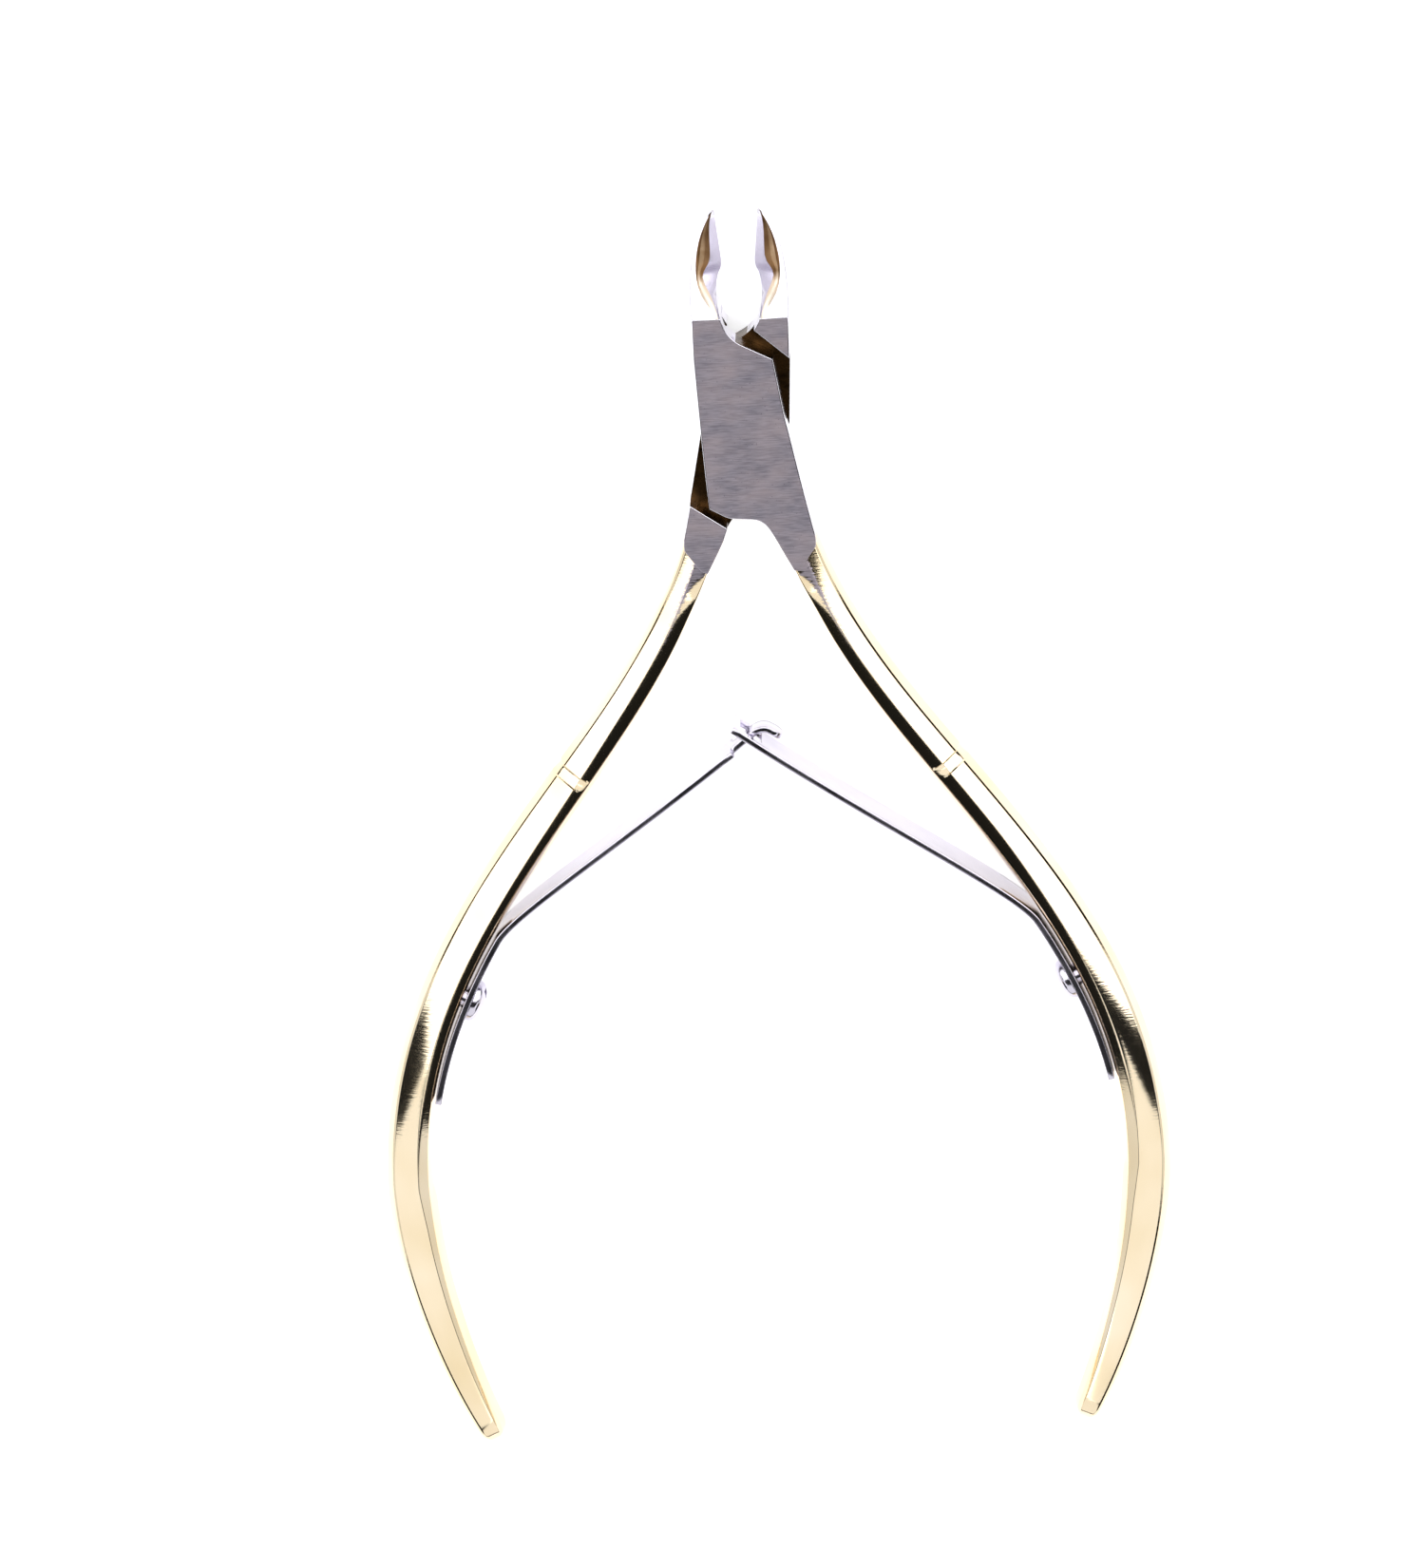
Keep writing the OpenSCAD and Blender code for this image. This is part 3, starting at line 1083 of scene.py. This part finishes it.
@dataclass
class SpringScrew:
    """A small domed screw with a straight slot, at the inner side of a handle."""

    name: str
    side: str
    handle: Handle
    leaf: LeafSpring
    place_at: float = 0.74
    head_width: float = 3.4
    head_height: float = 1.1
    shank_width: float = 1.8
    shank_length: float = 2.9
    slot_width: float = 0.5
    slot_depth: float = 0.42
    slot_angle: float = 28.0
    rim_height: float = 0.32
    head_gap: float = 0.12

    def build(self, finish: Material) -> Piece:
        """Spins the screw, cuts its slot and seats it on the leaf.

        Args:
            finish: The screw's material.

        Returns:
            The finished piece.
        """
        r, h = self.head_width / 2, self.head_height
        shank = self.shank_width / 2
        dome = [(r * math.cos(a), self.rim_height + (h - self.rim_height) * math.sin(a))
                for a in (math.radians(90 * k / 8) for k in range(9))]
        profile = [(0, -self.shank_length), (shank - 0.15, -self.shank_length),
                   (shank, -self.shank_length + 0.15), (shank, 0), (r - 0.05, 0), (r, 0.06),
                   *dome[:-1], (0, h)]
        bm = turned(profile, 48)
        cutter = bmesh.new()
        bmesh.ops.create_cube(cutter, size=1)
        bmesh.ops.scale(cutter, vec=(self.slot_width, self.head_width * 1.2, self.slot_depth * 2),
                        verts=cutter.verts)
        bmesh.ops.rotate(cutter, verts=cutter.verts, cent=(0, 0, 0),
                         matrix=Matrix.Rotation(math.radians(self.slot_angle), 3, "Z"))
        bmesh.ops.translate(cutter, vec=(0, 0, h), verts=cutter.verts)
        seat = self.seat()
        for mesh in (bm, cutter):
            bmesh.ops.transform(mesh, matrix=seat, verts=mesh.verts)
        piece = to_object(self.name, bm, [finish])
        piece = combine(piece, [to_object(self.name + "_slot", cutter, [finish])], "DIFFERENCE")
        polish_shading(piece)
        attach(piece, "rear" if self.side == "left" else "front")
        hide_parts(f"{self.side}_spring_screw")
        return piece

    def seat(self) -> Matrix:
        """Move that stands the screw on the leaf, pointing away from the handle."""
        inward = self.handle.inward(self.place_at)
        base = self.handle.inside(self.place_at, 1)
        raised = base + inward * (self.leaf.gap + self.leaf.sheet + self.head_gap / 2)
        thickness = self.handle.thickness
        move = (Matrix.Translation((raised.x, raised.y, thickness / 2))
                @ Matrix.Rotation(math.atan2(inward.y, inward.x), 4, "Z")
                @ Matrix.Rotation(math.pi / 2, 4, "Y"))
        return turned_over(thickness) @ move if self.side == "left" else move


@dataclass
class PivotRivet:
    """The rivet, peened and ground flush, so only its rear end shows as a fine ring."""

    name: str
    thickness: float
    shank: float = 3.0
    end: float = 4.0
    flare: float = 0.6
    skin: float = 1.2

    def build(self, finish: Material) -> Piece:
        """Spins the rivet and puts it in place of its CAD node."""
        r, e, t = self.shank / 2, self.end / 2, self.thickness
        profile = [(0, 0.001), (e - 0.03, 0.001), (e, 0.03), (r, self.flare),
                   (r, t - self.skin), (0, t - self.skin)]
        piece = to_object(self.name, turned(profile, 64), [finish])
        polish_shading(piece)
        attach(piece, "front")
        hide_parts("pivot_rivet")
        return piece


# ---------- the studio


@dataclass(frozen=True)
class Softbox:
    """A flat light, placed by the part of the surroundings that it covers.

    Angles are in degrees: the azimuth runs from +X towards +Y, the height is up from the
    floor, and the light is turned about its own axis. The radiance is its brightness, where 1
    shows as white.
    """

    name: str
    azimuth: float
    height: float
    wide: float
    tall: float
    radiance: float
    turned: float = 0.0

    def hang(self, middle: Vector, distance: float) -> None:
        """Hangs the light so that it faces the tool.

        Args:
            middle: Middle of the tool.
            distance: How far off the light is, in metres.
        """
        data = bpy.data.lights.new(self.name, "AREA")
        data.shape = "RECTANGLE"
        data.size = 2 * distance * math.tan(math.radians(self.wide / 2))
        data.size_y = 2 * distance * math.tan(math.radians(self.tall / 2))
        data.energy = self.radiance * math.pi * data.size * data.size_y
        light = bpy.data.objects.new(self.name, data)
        a, e = math.radians(self.azimuth), math.radians(self.height)
        out = Vector((math.cos(a) * math.cos(e), math.sin(a) * math.cos(e), math.sin(e)))
        side = Vector((-math.sin(a), math.cos(a), 0))
        axes = Matrix((side, out.cross(side), out)).transposed().to_4x4()
        light.matrix_world = (Matrix.Translation(middle + out * distance) @ axes
                              @ Matrix.Rotation(math.radians(self.turned), 4, "Z"))
        bpy.context.scene.collection.objects.link(light)


@dataclass
class Studio:
    """Pale floor, softboxes round a dim overhead, and the camera above the joint's tip side."""

    tool: tuple[Vector, Vector]
    thickness: float
    distance: float = 3.0
    tilt: float = 14.44
    sideways: float = 1.2
    roll: float = 2.24
    view_height_mm: float = 124.06
    aim_mm: tuple[float, float] = (-3.82, -28.58)
    sensor_mm: float = 36.0
    card_mm: float = 1500.0
    box_distance: float = 2.0
    room_light: float = 0.012
    boxes: tuple[Softbox, ...] = (
        Softbox("right_box", 36, 36.5, 53.5, 39.5, 2.2, -33),
        Softbox("left_box", 152.4, 43, 40, 54, 2.2, -17.4),
        Softbox("right_rear_box", 328.5, 43, 29, 21, 1.15, -10),
        Softbox("left_rear_box", 210, 40, 32, 21.5, 1.15, 10),
        Softbox("tip_box", 90, 66, 50, 42, 2.2),
        Softbox("right_low_box", 354, 14, 36, 26, 0.9),
        Softbox("left_low_box", 187, 14, 38, 26, 0.9),
        Softbox("end_box", 270, 34, 62, 54, 1.1))

    def floor(self) -> None:
        """Lays the card that the tool lies on."""
        bm = bmesh.new()
        bmesh.ops.create_grid(bm, x_segments=1, y_segments=1, size=self.card_mm)
        bmesh.ops.translate(bm, vec=(0, 0, -0.02), verts=bm.verts)
        card = to_object("floor_card", bm, [LitCard().build()])
        card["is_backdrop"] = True

    def lights(self) -> None:
        """Hangs the softboxes, with a nearly black room behind them."""
        middle = (self.tool[0] + self.tool[1]) / 2
        for box in self.boxes:
            box.hang(middle, self.box_distance)
        world = bpy.data.worlds.new("dark_room")
        world.use_nodes = True
        world.node_tree.nodes["Background"].inputs[0].default_value = linear("#FFFFFF")
        world.node_tree.nodes["Background"].inputs[1].default_value = self.room_light
        bpy.context.scene.world = world

    def camera(self) -> None:
        """Puts up the camera, tilted towards the jaw tips."""
        data = bpy.data.cameras.new("camera")
        data.sensor_width = self.sensor_mm
        data.lens = self.sensor_mm * self.distance / (self.view_height_mm * MM)
        camera = bpy.data.objects.new("camera", data)
        turn = (Matrix.Rotation(math.radians(-self.roll), 4, "Z")
                @ Matrix.Rotation(math.radians(-self.tilt), 4, "X")
                @ Matrix.Rotation(math.radians(self.sideways), 4, "Y"))
        aim = Vector((self.aim_mm[0] * MM, self.aim_mm[1] * MM, self.thickness * MM))
        camera.matrix_world = Matrix.Translation(aim + turn @ Vector((0, 0, self.distance))) @ turn
        bpy.context.scene.collection.objects.link(camera)
        bpy.context.scene.camera = camera

    def build(self) -> None:
        """Builds the whole studio."""
        self.floor()
        self.lights()
        self.camera()
        view = bpy.context.scene.view_settings
        view.view_transform, view.look = "Standard", "None"


# ---------- assembly


def main() -> None:
    logging.basicConfig(level=logging.INFO, format="%(name)s: %(message)s")
    cad_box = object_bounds()
    low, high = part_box("front_half")
    thickness = round((high.z - low.z) / MM, 3)
    ground = GroundSteel()
    finishes = [GoldPlate(thickness, ground).build(), ground.build(), PolishedSteel().build(),
                PolishedSteel(colour="#E4E1EA", grain_mm=(1.2, 0.07, 0.07), roughness=0.24,
                              bump=0.45, name="honed_steel").build(),
                # Recess plate: dark brown with near-black patches, painted shade where the recesses
                # lie in shade.
                DullPlate("#6A4D2C", "#1C120A", 0.26, "painted_shade_plate_in_recess").build(),
                # Hollow plate: tan, darker than the mopped plate, painted shade for the hollow's
                # darker double reflections; paler towards the joint.
                DullPlate("#BCA488", "#957B5E", 0.42, "matt_plate_with_painted_shade_in_hollow",
                          pale_mm=(11.9, 12.7)).build()]
    spring_finish = PolishedSteel(colour="#D2CEDB", grain_mm=(0.9, 0.9, 0.06), roughness=0.17,
                                  name="bright_spring_steel").build()
    handle = Handle(thickness)
    head, jaw = JointHead(thickness), Jaw(thickness)
    made = [Forging("front_forging", "front", "front_half", False, handle, head,
                    jaw).build(finishes),
            Forging("rear_forging", "rear", "rear_half", True, handle, head,
                    jaw).build(finishes)]
    crossing = Vector((-0.8, -25.3))
    leaves = [LeafSpring("right_leaf_spring", "right", LeafEnd.SLOTTED, handle, crossing),
              LeafSpring("left_leaf_spring", "left", LeafEnd.TONGUED, handle,
                         Vector((-crossing.x, crossing.y)), sag=0.8)]
    for leaf in leaves:
        made.append(leaf.build(spring_finish))
        screw = SpringScrew(f"{leaf.side}_domed_screw", leaf.side, handle, leaf)
        made.append(screw.build(spring_finish))
    made.append(PivotRivet("flush_rivet", thickness).build(ground.build()))
    for piece in made:
        LOG.info("%s: %d faces", piece.name, len(piece.data.polygons))
    Studio(cad_box, thickness).build()


if __name__ == "__main__":
    main()
